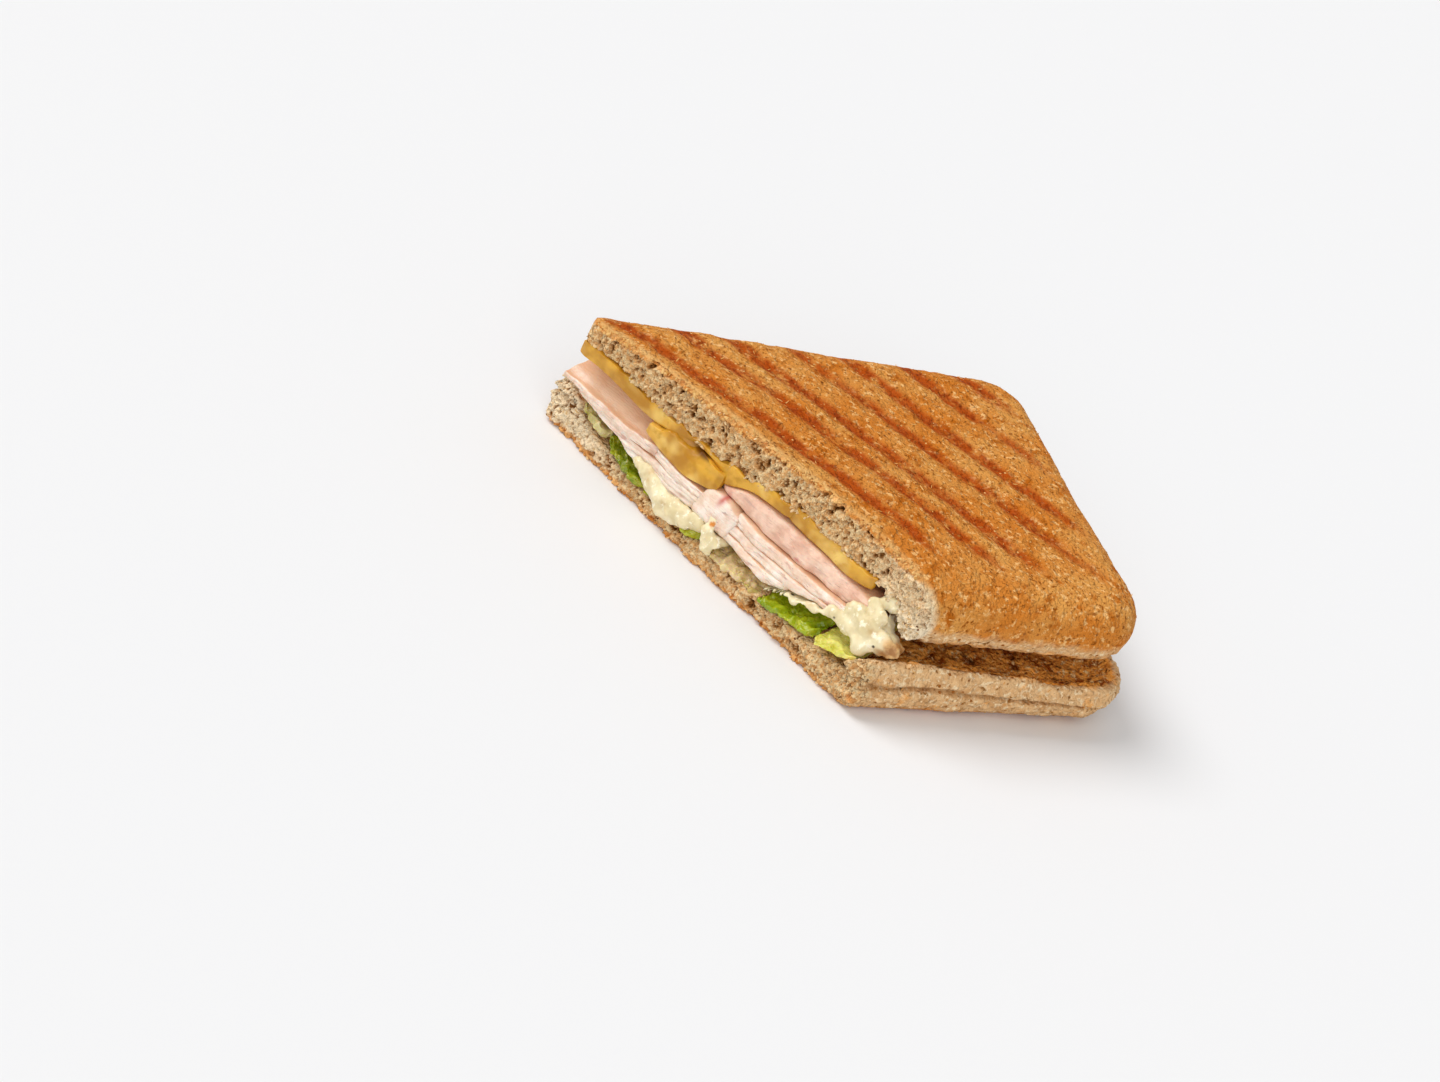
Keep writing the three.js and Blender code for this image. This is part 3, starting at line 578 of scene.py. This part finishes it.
def surface_spots(piece, count, chance, seed):
    """Random places on a piece's surface, with the way out of it."""
    mesh = piece.data
    total = len(mesh.polygons)
    centres, normals, areas = np.empty(total * 3), np.empty(total * 3), np.empty(total)
    mesh.polygons.foreach_get("center", centres)
    mesh.polygons.foreach_get("normal", normals)
    mesh.polygons.foreach_get("area", areas)
    centres, normals = centres.reshape(-1, 3) / MM, normals.reshape(-1, 3)
    weights = areas * chance(centres, normals)
    chosen = np.random.RandomState(seed).choice(total, count, p=weights / weights.sum())
    return centres[chosen], normals[chosen]


def grain(rounds, curl):
    """The points and faces of one grain a unit long each way, bent up at its ends."""
    shape = bmesh.new()
    bmesh.ops.create_icosphere(shape, subdivisions=rounds, radius=1)
    points = np.array([v.co for v in shape.verts])
    points[:, 2] += curl * points[:, 0] ** 2
    faces = np.array([[v.index for v in face.verts] for face in shape.faces])
    shape.free()
    return points, faces


def strew(name, shape, spots, sizes, form, material, seed):
    """One grain's shape at every spot, lying on the surface and turned at random."""
    draw = np.random.RandomState(seed)
    places, outs = (np.concatenate(both) for both in zip(*spots))
    count = len(places)
    points, faces = shape
    scale = sizes[0] + (sizes[1] - sizes[0]) * draw.rand(count, 1) ** 2
    size = scale * np.array(form) * (0.75 + 0.5 * draw.rand(count, 3))
    outs = outs + GRAIN_TILT * draw.randn(count, 3)
    outs /= np.linalg.norm(outs, axis=1)[:, None]
    across = np.cross(outs, draw.randn(count, 3))
    across /= np.linalg.norm(across, axis=1)[:, None]
    frames = np.stack((across, np.cross(outs, across), outs), axis=1)
    grown = np.einsum("nij,njk->nik", points[None] * size[:, None], frames)
    grown += (places + outs * size[:, 2:] * GRAIN_LIFT)[:, None]
    joined = faces[None] + len(points) * np.arange(count)[:, None, None]
    mesh = bpy.data.meshes.new(name)
    mesh.from_pydata((grown.reshape(-1, 3) * MM).tolist(), [], joined.reshape(-1, 3).tolist())
    mesh.shade_smooth()
    store(mesh, "tint", np.repeat(draw.rand(count), len(points)))
    mesh.materials.append(material)
    piece = linked(name, mesh)
    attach(piece, "root")


def grain_material(name, dark, light):
    material, tree, place, shader = new_material(name)
    patches = times(tree, mottling(tree, place, 900, 0.3, 0.7), 0.3)
    tone = plus(tree, times(tree, mark(tree, "tint"), 0.7), patches)
    tree.links.new(blend(tree, tone, paint(dark), paint(light)), shader.inputs["Base Color"])
    shader.inputs["Roughness"].default_value = 0.75
    shader.inputs["Specular IOR Level"].default_value = 0.25
    return material


def on_upper_crust(centres, normals):
    _, depth, _ = from_cut(centres, 1)
    return smooth(centres[:, 2], 17, 20) * smooth(depth, 0.5, 3) * smooth(normals[:, 2], -0.2, 0.2)


def on_lower_wall(centres, normals):
    _, depth, _ = from_cut(centres, 0)
    outer = 1 - smooth(from_outline(centres, LOWER_PLAN), 5, 7)
    return outer * smooth(depth, 0.5, 2) * smooth(centres[:, 2], 0.6, 1.2)


def beside_upper_cut(centres, normals):
    along, depth, _ = from_cut(centres, 1)
    lip = centres[:, 2] - np.interp(along, CRUST_ALONG, CRUST_TOP)
    return (1 - smooth(np.abs(depth), 0.5, 1)) * smooth(lip, -1.4, -0.4)


def on_cut_face(rise):
    def chance(centres, normals):
        _, depth, inward = from_cut(centres, rise)
        return (1 - smooth(depth, 0.1, 0.9)) * smooth(-(normals * inward).sum(1), 0.3, 0.8)
    return chance


bran_spots = [
    surface_spots(upper, 1300, on_upper_crust, seed=5),
    surface_spots(lower, 420, on_lower_wall, seed=6),
]
strew(
    "bran_flecks", grain(1, curl=0), bran_spots, sizes=(0.12, 0.4), form=(1, 0.5, 0.2),
    material=grain_material("bran", "#96581c", "#bc7a34"), seed=12,
)
flake_spots = [
    surface_spots(upper, 620, on_upper_crust, seed=7),
    surface_spots(lower, 170, on_lower_wall, seed=8),
]
strew(
    "pale_flakes", grain(2, curl=0.5), flake_spots, sizes=(0.25, 0.85), form=(1, 0.18, 0.12),
    material=grain_material("pale flakes", "#d4923e", "#f0be74"), seed=13,
)
edge_spots = [surface_spots(upper, 300, beside_upper_cut, seed=9)]
strew(
    "crust_edge_flakes", grain(2, curl=0.3), edge_spots, sizes=(0.25, 0.7), form=(1, 0.7, 0.35),
    material=grain_material("golden flakes", "#c88c40", "#ecc27e"), seed=14,
)
crumb_spots = [
    surface_spots(upper, 520, on_cut_face(1), seed=10),
    surface_spots(lower, 300, on_cut_face(0), seed=11),
]
strew(
    "crumb_shreds", grain(2, curl=0.4), crumb_spots, sizes=(0.2, 0.55), form=(1, 0.5, 0.4),
    material=grain_material("crumb shreds", "#cfa468", "#f2d4a4"), seed=15,
)

# ---- Melted cheese --------------------------------------------------------------------------
# Slices of golden cheese under the upper slab, softened by the grill until they stuck to the
# crumb. One corner folded down into a tongue, and the edges are rounded and a little oily.

SOFT_LEVELS = 3
STRETCHED_END = 3
CHEESE_FIRMNESS = 0.4
CHEESE = (
    "#b67c0c",
    (120, 0.38, 0.62, "#dca634"),
    (70, 0.5, 0.66, "#ecc66c"),
    (330, 0.54, 0.74, "#c08a10"),
)

# The pocket that the fold left open above the tongue, sunk in and painted with shade: where it lies
# along the cut, its height there, how far it reaches both ways, how much it falls on its way and
# how deep it is.
POCKET_ALONG, POCKET_HEIGHT = 38.8, 21.2
POCKET_REACH, POCKET_SLOPE, POCKET_DEPTH = (5, 0.9), 0.16, 2.4


def soft_piece(node, name, material, firmness, shape):
    """The node's layer with rounded edges and its own uneven surface."""
    piece = copy_of(node, name, firmness)
    rounding = piece.modifiers.new("rounding", "SUBSURF")
    rounding.levels = rounding.render_levels = SOFT_LEVELS
    mesh = finished(piece)
    points = read_points(mesh)
    normals = read_normals(mesh)
    along, depth, inward = from_cut(points)
    facing = -(normals * inward).sum(1)
    store(mesh, "front", (1 - smooth(depth, 0.4, 1.6)) * smooth(facing, 0, 0.5))
    moved = shape(node, points, normals, along, depth, inward)
    store(mesh, "sunken", ((moved - points) * inward).sum(1))
    write_points(mesh, moved)
    mesh.materials.append(material)
    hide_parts(node)
    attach(piece, "root")
    return piece


def fattened(points, normals, depth, up, down, fade):
    """Grows a layer up and down near the cut, so that it meets its neighbours there."""
    near = 1 - smooth(depth, *fade)
    rise = up * smooth(normals[:, 2], 0.1, 0.6) - down * smooth(-normals[:, 2], 0.1, 0.6)
    grown = points.copy()
    grown[:, 2] += near * rise
    return grown


def widened(points, along, inward, amount):
    """Stretches both ends of a layer along the cut, so that they reach the next pieces."""
    first, last = along.min(), along.max()
    sideways = smooth(along, last - STRETCHED_END, last) - 1
    sideways = sideways + smooth(along, first, first + STRETCHED_END)
    moved = points.copy()
    moved[:, 0] += inward[:, 1] * sideways * amount
    moved[:, 1] -= inward[:, 0] * sideways * amount
    return moved


def rounded_ends(along, reach):
    """1 at both ends of a layer, 0 further in than the reach."""
    nearest = np.minimum(along - along.min(), along.max() - along)
    return (1 - smooth(nearest, 0, reach)) ** 2


def moisten(shader, roughness, share, sinking, reach):
    """A moist surface: red, green and blue light sink in by shares of a reach in metres."""
    shader.inputs["Roughness"].default_value = roughness
    shader.inputs["Subsurface Weight"].default_value = share
    shader.inputs["Subsurface Radius"].default_value = sinking
    shader.inputs["Subsurface Scale"].default_value = reach


def cheese_material():
    material, tree, place, shader = new_material("melted cheese")
    colour = patchy(tree, place, *CHEESE)
    # Painted shade darkens the cheese where it is sunk in, which is in the pocket above the tongue.
    colour = blend(tree, between(tree, mark(tree, "sunken"), 0.6, 1.8), colour, paint("#7c4a02"))
    tree.links.new(colour, shader.inputs["Base Color"])
    roughen(tree, shader, mottling(tree, place, 300, 0.2, 0.8), strength=0.3, depth=0.0004)
    moisten(shader, roughness=0.33, share=0.3, sinking=(1.0, 0.6, 0.15), reach=0.0012)
    return material


def melted(node, points, normals, along, depth, inward):
    """Cheese that climbs into the crumb above, and bulges or sinks in at the cut."""
    climb = bumps(points, 4, seed=71) + 0.3 + 0.4 * bumps(points, 1.6, seed=74)
    up = 1.3 + 1.3 * np.clip(climb, 0, 1)
    moved = fattened(points, normals, depth, up, down=0.3, fade=(1, 6))
    front = 1 - smooth(depth, 0, 3)
    pushed = 0.45 + 0.35 * bumps(points, 6, seed=72) - 0.6 * rounded_ends(along, 2)
    aslant = moved[:, 2] - POCKET_HEIGHT + POCKET_SLOPE * (along - POCKET_ALONG)
    pushed -= POCKET_DEPTH * dab(along, aslant, (POCKET_ALONG, 0), POCKET_REACH)
    return widened(moved, along, inward, 1.2 * front) - inward * (front * pushed)[:, None]


cheese = cheese_material()
for node in ("cheese_left", "cheese_fold", "cheese_middle", "cheese_right"):
    soft_piece(node, node + "_melted", cheese, CHEESE_FIRMNESS, melted)

# ---- Sliced turkey --------------------------------------------------------------------------
# Thin slices of pale cooked turkey, laid and folded. Each cut edge shows fine grain, and the
# upper faces are smooth and moist.

SLICES = [f"turkey_left_{n}" for n in (1, 2, 3, 4)] + ["turkey_fold", "turkey_roll"]
SLICES += [f"turkey_right_{n}" for n in (1, 2, 3)]
SLICE_FIRMNESS, ROLL_FIRMNESS = 0.42, 0.15
OUTER_FACE = ("#daa67e", (110, 0.3, 0.7, "#e8be9a"))
STREAKS = ((180, 0.56, 0.72, "#d0a896"), (420, 0.64, 0.74, "#b08c80"))
STREAK_FLATNESS = 6

# How far some slices' top faces rise behind the cut, and how much the small fold swells.
TOP_FACE_LIFTS = {"turkey_left_1": 4.2, "turkey_left_2": 0.6, "turkey_roll": 0.5}
FOLD_SWELLING = 0.5

# The red threads in the meat: where each lies along the cut and in height, and its reach.
THREADS = (((49.9, 17.3), (0.8, 1.6)), ((71.5, 17.3), (0.9, 0.4)), ((83.8, 14.9), (1.2, 0.3)))


def turkey_material(name, dark, light):
    material, tree, place, shader = new_material(name)
    squeezed = add(tree, "ShaderNodeMapping", {0: place, 3: (1, 1, STREAK_FLATNESS)}).outputs[0]
    meat = patchy(tree, place, dark, (240, 0.35, 0.65, light))
    meat = patchy(tree, squeezed, meat, *STREAKS)
    shaded = between(tree, mark(tree, "sunken"), 0.1, 0.9, 0.0, 0.7)
    meat = blend(tree, shaded, meat, paint("#cc9c84"))
    colour = blend(tree, mark(tree, "front"), patchy(tree, place, *OUTER_FACE), meat)
    red_specks = specks(tree, place, 190, size=0.17, share=0.05)
    colour = blend(tree, red_specks, colour, paint("#b0503c"))
    colour = blend(tree, mark(tree, "sinew"), colour, paint("#c4685c"))
    tree.links.new(colour, shader.inputs["Base Color"])
    roughen(tree, shader, mottling(tree, squeezed, 500, 0.3, 0.7), strength=0.35, depth=0.0003)
    moisten(shader, roughness=0.42, share=0.35, sinking=(1.0, 0.45, 0.3), reach=0.0012)
    return material


def sliced(node, points, normals, along, depth, inward):
    """Meat with a fibrous cut edge, whose top face is lifted behind the cut where it shows."""
    moved = fattened(points, normals, depth, up=0.35, down=0.35, fade=(2, 8))
    lifted = TOP_FACE_LIFTS.get(node, 0) * smooth(depth, -0.5, 5) * (1 - smooth(depth, 9, 16))
    moved[:, 2] += lifted * smooth(normals[:, 2], 0.1, 0.6)
    front = 1 - smooth(depth, 0.5, 2.5)
    fibres = bumps(points, 1.5, seed=81, stretch=(3, 3, 0.3))
    lumps = bumps(points, 4, seed=82)
    pushed = 0.3 * fibres + 0.4 * lumps + 0.2 * bumps(points, 1, seed=83)
    pushed = pushed - 0.5 * rounded_ends(along, 3)
    swollen = 0.12 * lumps + (FOLD_SWELLING if node == "turkey_fold" else 0)
    moved = widened(moved, along, inward, 0.8 * front)
    return moved - inward * (front * pushed)[:, None] + normals * swollen[:, None]


def threaded(mesh):
    """Stores where the red threads show."""
    points = read_points(mesh)
    along, _, _ = from_cut(points)
    threads = np.zeros(len(points))
    for at, reach in THREADS:
        threads += dab(along, points[:, 2], at, reach)
    store(mesh, "sinew", np.clip(threads, 0, 1))


flat_turkey = turkey_material("sliced turkey", "#eccdb4", "#fae8d8")
rolled_turkey = turkey_material("rolled turkey", "#deb096", "#f2d0b8")
for node in SLICES:
    rolled = node == "turkey_roll"
    meat = rolled_turkey if rolled else flat_turkey
    firmness = ROLL_FIRMNESS if rolled else SLICE_FIRMNESS
    piece = soft_piece(node, node + "_slice", meat, firmness, sliced)
    threaded(piece.data)

# ---- Dressing -------------------------------------------------------------------------------
# A thick creamy dressing with ground pepper, squeezed out in lumps between the turkey and the
# leaves. It ran down over the lower slab in places.

DRESSING_VOXEL = 0.4
DRESSING_SMOOTHING = 12
LUMP_BREADTH, LUMP_FLATNESS = 1.25, 0.65
CREAM = (
    "#f0e2ba",
    (240, 0.35, 0.7, "#dccb9c"),
    (110, 0.56, 0.72, "#c8a468"),
    (700, 0.56, 0.68, "#fbf2d6"),
)
BAKED_CREAM = ("#e2b678", (350, 0.4, 0.6, "#a8723a"))

# The end of the right-hand run is baked brown, which fades in between these distances along
# the cut. One orange fleck of herb lies in the middle drop and fades out between two radii.
BAKED_FROM, BAKED_TO = 98, 101
HERB_ALONG, HERB_HEIGHT = 52.1, 11.6
HERB_CORE, HERB_RIM = 0.5, 0.8

# Each lump: its distance along the cut, its depth, its height and its radius.
DRESSING_LUMPS = {
    "dressing_left": (
        (28, -0.8, 9.4, 1.5), (31, -0.8, 9, 2.1), (34.5, -0.8, 8, 2.7), (38, -0.8, 7, 3.1),
        (42, -0.9, 6.6, 3.2), (45.5, -0.9, 7.2, 2.8), (48.6, -0.9, 8.6, 2.2), (40, -1.3, 4.6, 1.8),
    ),
    "dressing_drop": (
        (52, -1.8, 9.4, 1.6), (53.8, -2, 7.6, 1.9), (55, -2, 6.2, 1.6), (51.4, -1.5, 11.8, 1.4),
    ),
    "dressing_right": (
        (78, -1, 10.4, 1), (82, -1.1, 12.2, 1.3), (86, -1.4, 14.4, 1.9), (90, -1.6, 17.4, 2.6),
        (94, -1.9, 16.6, 3), (98, -1.6, 16, 2.9), (100.6, -0.8, 15.8, 2.1), (95.5, -1.7, 13, 2.2),
        (90.5, -1.6, 14, 1.9), (93.5, -1, 19.4, 2), (91, -0.7, 20.6, 1.6), (88, -1, 17, 1.6),
        (93, 0.8, 21.6, 2),
    ),
}


def dressing_material():
    material, tree, place, shader = new_material("creamy dressing")
    colour = patchy(tree, place, *CREAM)
    colour = blend(tree, mark(tree, "baked"), colour, patchy(tree, place, *BAKED_CREAM))
    pepper = specks(tree, place, 380, size=0.2, share=0.14)
    colour = blend(tree, pepper, colour, paint("#4a3c26"))
    colour = blend(tree, mark(tree, "herb"), colour, paint("#e08c34"))
    tree.links.new(colour, shader.inputs["Base Color"])
    moisten(shader, roughness=0.45, share=0.35, sinking=(1.0, 0.8, 0.5), reach=0.001)
    return material


def on_cut(along, depth, height):
    """Places a lump by its distances along the cut and behind it, and flattens it there."""
    start, end = cut_line(min(max((height - CUT_LOW) / (CUT_HIGH - CUT_LOW), 0), 1))
    way = (end - start) / np.linalg.norm(end - start)
    inward = np.array((-way[1], way[0]))
    turned = Matrix.Identity(4)
    turned.col[0] = (*way * LUMP_BREADTH, 0, 0)
    turned.col[1] = (*inward * LUMP_FLATNESS, 0, 0)
    turned.col[3] = (*(start + along * way + depth * inward) * MM, height * MM, 1)
    return turned


def squeezed_out(node, material):
    """The node's layer with lumps fused on along its front."""
    piece = copy_of(node, node + "_run")
    shape = bmesh.new()
    shape.from_mesh(piece.data)
    for along, depth, height, radius in DRESSING_LUMPS[node]:
        place = on_cut(along, depth, height)
        bmesh.ops.create_icosphere(shape, subdivisions=3, radius=radius * MM, matrix=place)
    shape.to_mesh(piece.data)
    shape.free()
    mesh = even_mesh(piece, DRESSING_VOXEL, DRESSING_SMOOTHING)
    points = read_points(mesh)
    uneven = 0.5 * bumps(points, 2.6, seed=91) + 0.22 * bumps(points, 1.3, seed=92)
    uneven = uneven - 0.3 * pits(points, 2, seed=93)
    write_points(mesh, points + read_normals(mesh) * uneven[:, None])
    along, _, _ = from_cut(points)
    store(mesh, "baked", smooth(along + 1.5 * bumps(points, 2, seed=94), BAKED_FROM, BAKED_TO))
    away = np.hypot(along - HERB_ALONG, points[:, 2] - HERB_HEIGHT)
    store(mesh, "herb", 1 - smooth(away, HERB_CORE, HERB_RIM))
    mesh.materials.append(material)
    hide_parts(node)
    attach(piece, "root")


dressing = dressing_material()
for node in DRESSING_LUMPS:
    squeezed_out(node, dressing)

# ---- Lettuce --------------------------------------------------------------------------------
# Torn crisp leaves between the lower slab and the turkey. Their edges are ruffled, and some of
# them are bright green, while others are pale and nearly all rib.

LEAF_FIRMNESS = 0.4
CRINKLES, TIP_CRINKLES = 0.7, 0.25
DROOP = {"lettuce_right": 1.3, "lettuce_tip": 1.5, "lettuce_olive": 0.6}

# Each leaf: its darker and its lighter colour, and the colour of its veins.
LEAVES = {
    "lettuce_rib": ("#b4a45c", "#d8c88c", "#ead8a6"),
    "lettuce_left": ("#76840a", "#aaaa22", "#d6ce74"),
    "lettuce_middle": ("#8a980a", "#b4b62c", "#d8d070"),
    "lettuce_olive": ("#c4aa64", "#e6cc98", "#f2deb8"),
    "lettuce_right": ("#7a9004", "#acb41a", "#d8d45c"),
    "lettuce_tip": ("#ccc446", "#ece480", "#f6eeae"),
}


def lettuce_material(name, dark, light, vein):
    material, tree, place, shader = new_material(name)
    colour = patchy(tree, place, dark, (210, 0.35, 0.65, light), (480, 0.6, 0.72, vein))
    tree.links.new(colour, shader.inputs["Base Color"])
    roughen(tree, shader, mottling(tree, place, 420, 0.2, 0.8), strength=0.6, depth=0.0006)
    moisten(shader, roughness=0.24, share=0.35, sinking=(0.5, 1.0, 0.1), reach=0.001)
    return material


def ruffled(node, points, normals, along, depth, inward):
    """A leaf that waves and crinkles at the cut, and droops there where it hangs free."""
    front = 1 - smooth(depth, 1, 7)
    waves = bumps(points, 2.6, seed=95, stretch=(1, 1, 3))
    waves = waves + 0.5 * bumps(points, 1.3, seed=96, stretch=(1, 1, 3))
    edge = (bumps(points, 1.7, seed=97) + 0.3) * (1 - smooth(depth, -1, 1))
    pushed = front * (1.3 * waves - 1.6 * rounded_ends(along, 2.5))
    moved = points - inward * pushed[:, None]
    moved[:, 2] += front * (0.5 * waves + 0.5 * edge - DROOP.get(node, 0))
    crisp = TIP_CRINKLES if node == "lettuce_tip" else CRINKLES
    crinkles = crisp * bumps(points, 1.5, seed=98, stretch=(0.7, 0.7, 2)) * front
    return moved + normals * crinkles[:, None]


for node, colours in LEAVES.items():
    leaf = lettuce_material(node.replace("_", " "), *colours)
    soft_piece(node, node + "_leaf", leaf, LEAF_FIRMNESS, ruffled)

# ---- The stage ------------------------------------------------------------------------------
# A plain pale floor under soft white light, seen from the photograph's place. The camera is
# rolled, because there the half leans over and here it lies flat.

# The floor's size and the nearest distance that the camera shows are in metres.
FLOOR_HALF_WIDTH = 3
FLOOR_COLOUR = (0.86, 0.86, 0.865, 1)
LENS, SENSOR_WIDTH, NEAREST = 70, 36, 0.01
CAMERA_PLACE = Vector((-300.72 + middle_shift[0], -438.13 + middle_shift[1], 333.71)) * MM
CAMERA_RIGHT = Vector((0.88884, -0.27831, 0.36403))
CAMERA_DOWN = Vector((0.11139, -0.63937, -0.76079))
CAMERA_AHEAD = Vector((0.44448, 0.71677, -0.53729))

# Each light: its name, the way towards it, its width as an angle, and its strength.
LIGHTS = (
    ("key", (-0.75, 0.6, 1.2), 0.6, 1.75),
    ("front", (-0.55, -1, 0.75), 1, 1.05),
)
SKY_COLOUR, SKY_STRENGTH = (1, 1, 1, 1), 0.46

shape = bmesh.new()
bmesh.ops.create_grid(shape, x_segments=1, y_segments=1, size=FLOOR_HALF_WIDTH)
floor_mesh = bpy.data.meshes.new("floor")
shape.to_mesh(floor_mesh)
shape.free()
floor = linked("floor", floor_mesh)
floor_material = bpy.data.materials.new("pale floor")
floor_material.use_nodes = True
floor_shader = floor_material.node_tree.nodes["Principled BSDF"]
floor_shader.inputs["Base Color"].default_value = FLOOR_COLOUR
floor_shader.inputs["Roughness"].default_value = 0.9
floor_shader.inputs["Specular IOR Level"].default_value = 0.2
floor_mesh.materials.append(floor_material)

world = bpy.data.worlds.new("studio")
world.use_nodes = True
world.node_tree.nodes["Background"].inputs["Color"].default_value = SKY_COLOUR
world.node_tree.nodes["Background"].inputs["Strength"].default_value = SKY_STRENGTH
bpy.context.scene.world = world

for name, towards, width, strength in LIGHTS:
    lamp = bpy.data.lights.new(name, "SUN")
    lamp.angle = width
    lamp.energy = strength
    held = linked(name, lamp)
    held.rotation_euler = Vector(towards).to_track_quat("Z", "Y").to_euler()

camera = bpy.data.cameras.new("camera")
camera.lens = LENS
camera.sensor_width = SENSOR_WIDTH
camera.clip_start = NEAREST
viewer = linked("camera", camera)
turn = Matrix((CAMERA_RIGHT, -CAMERA_DOWN, -CAMERA_AHEAD)).transposed()
viewer.matrix_world = Matrix.Translation(CAMERA_PLACE) @ turn.to_4x4()
bpy.context.scene.camera = viewer
bpy.context.scene.view_settings.view_transform = "Standard"
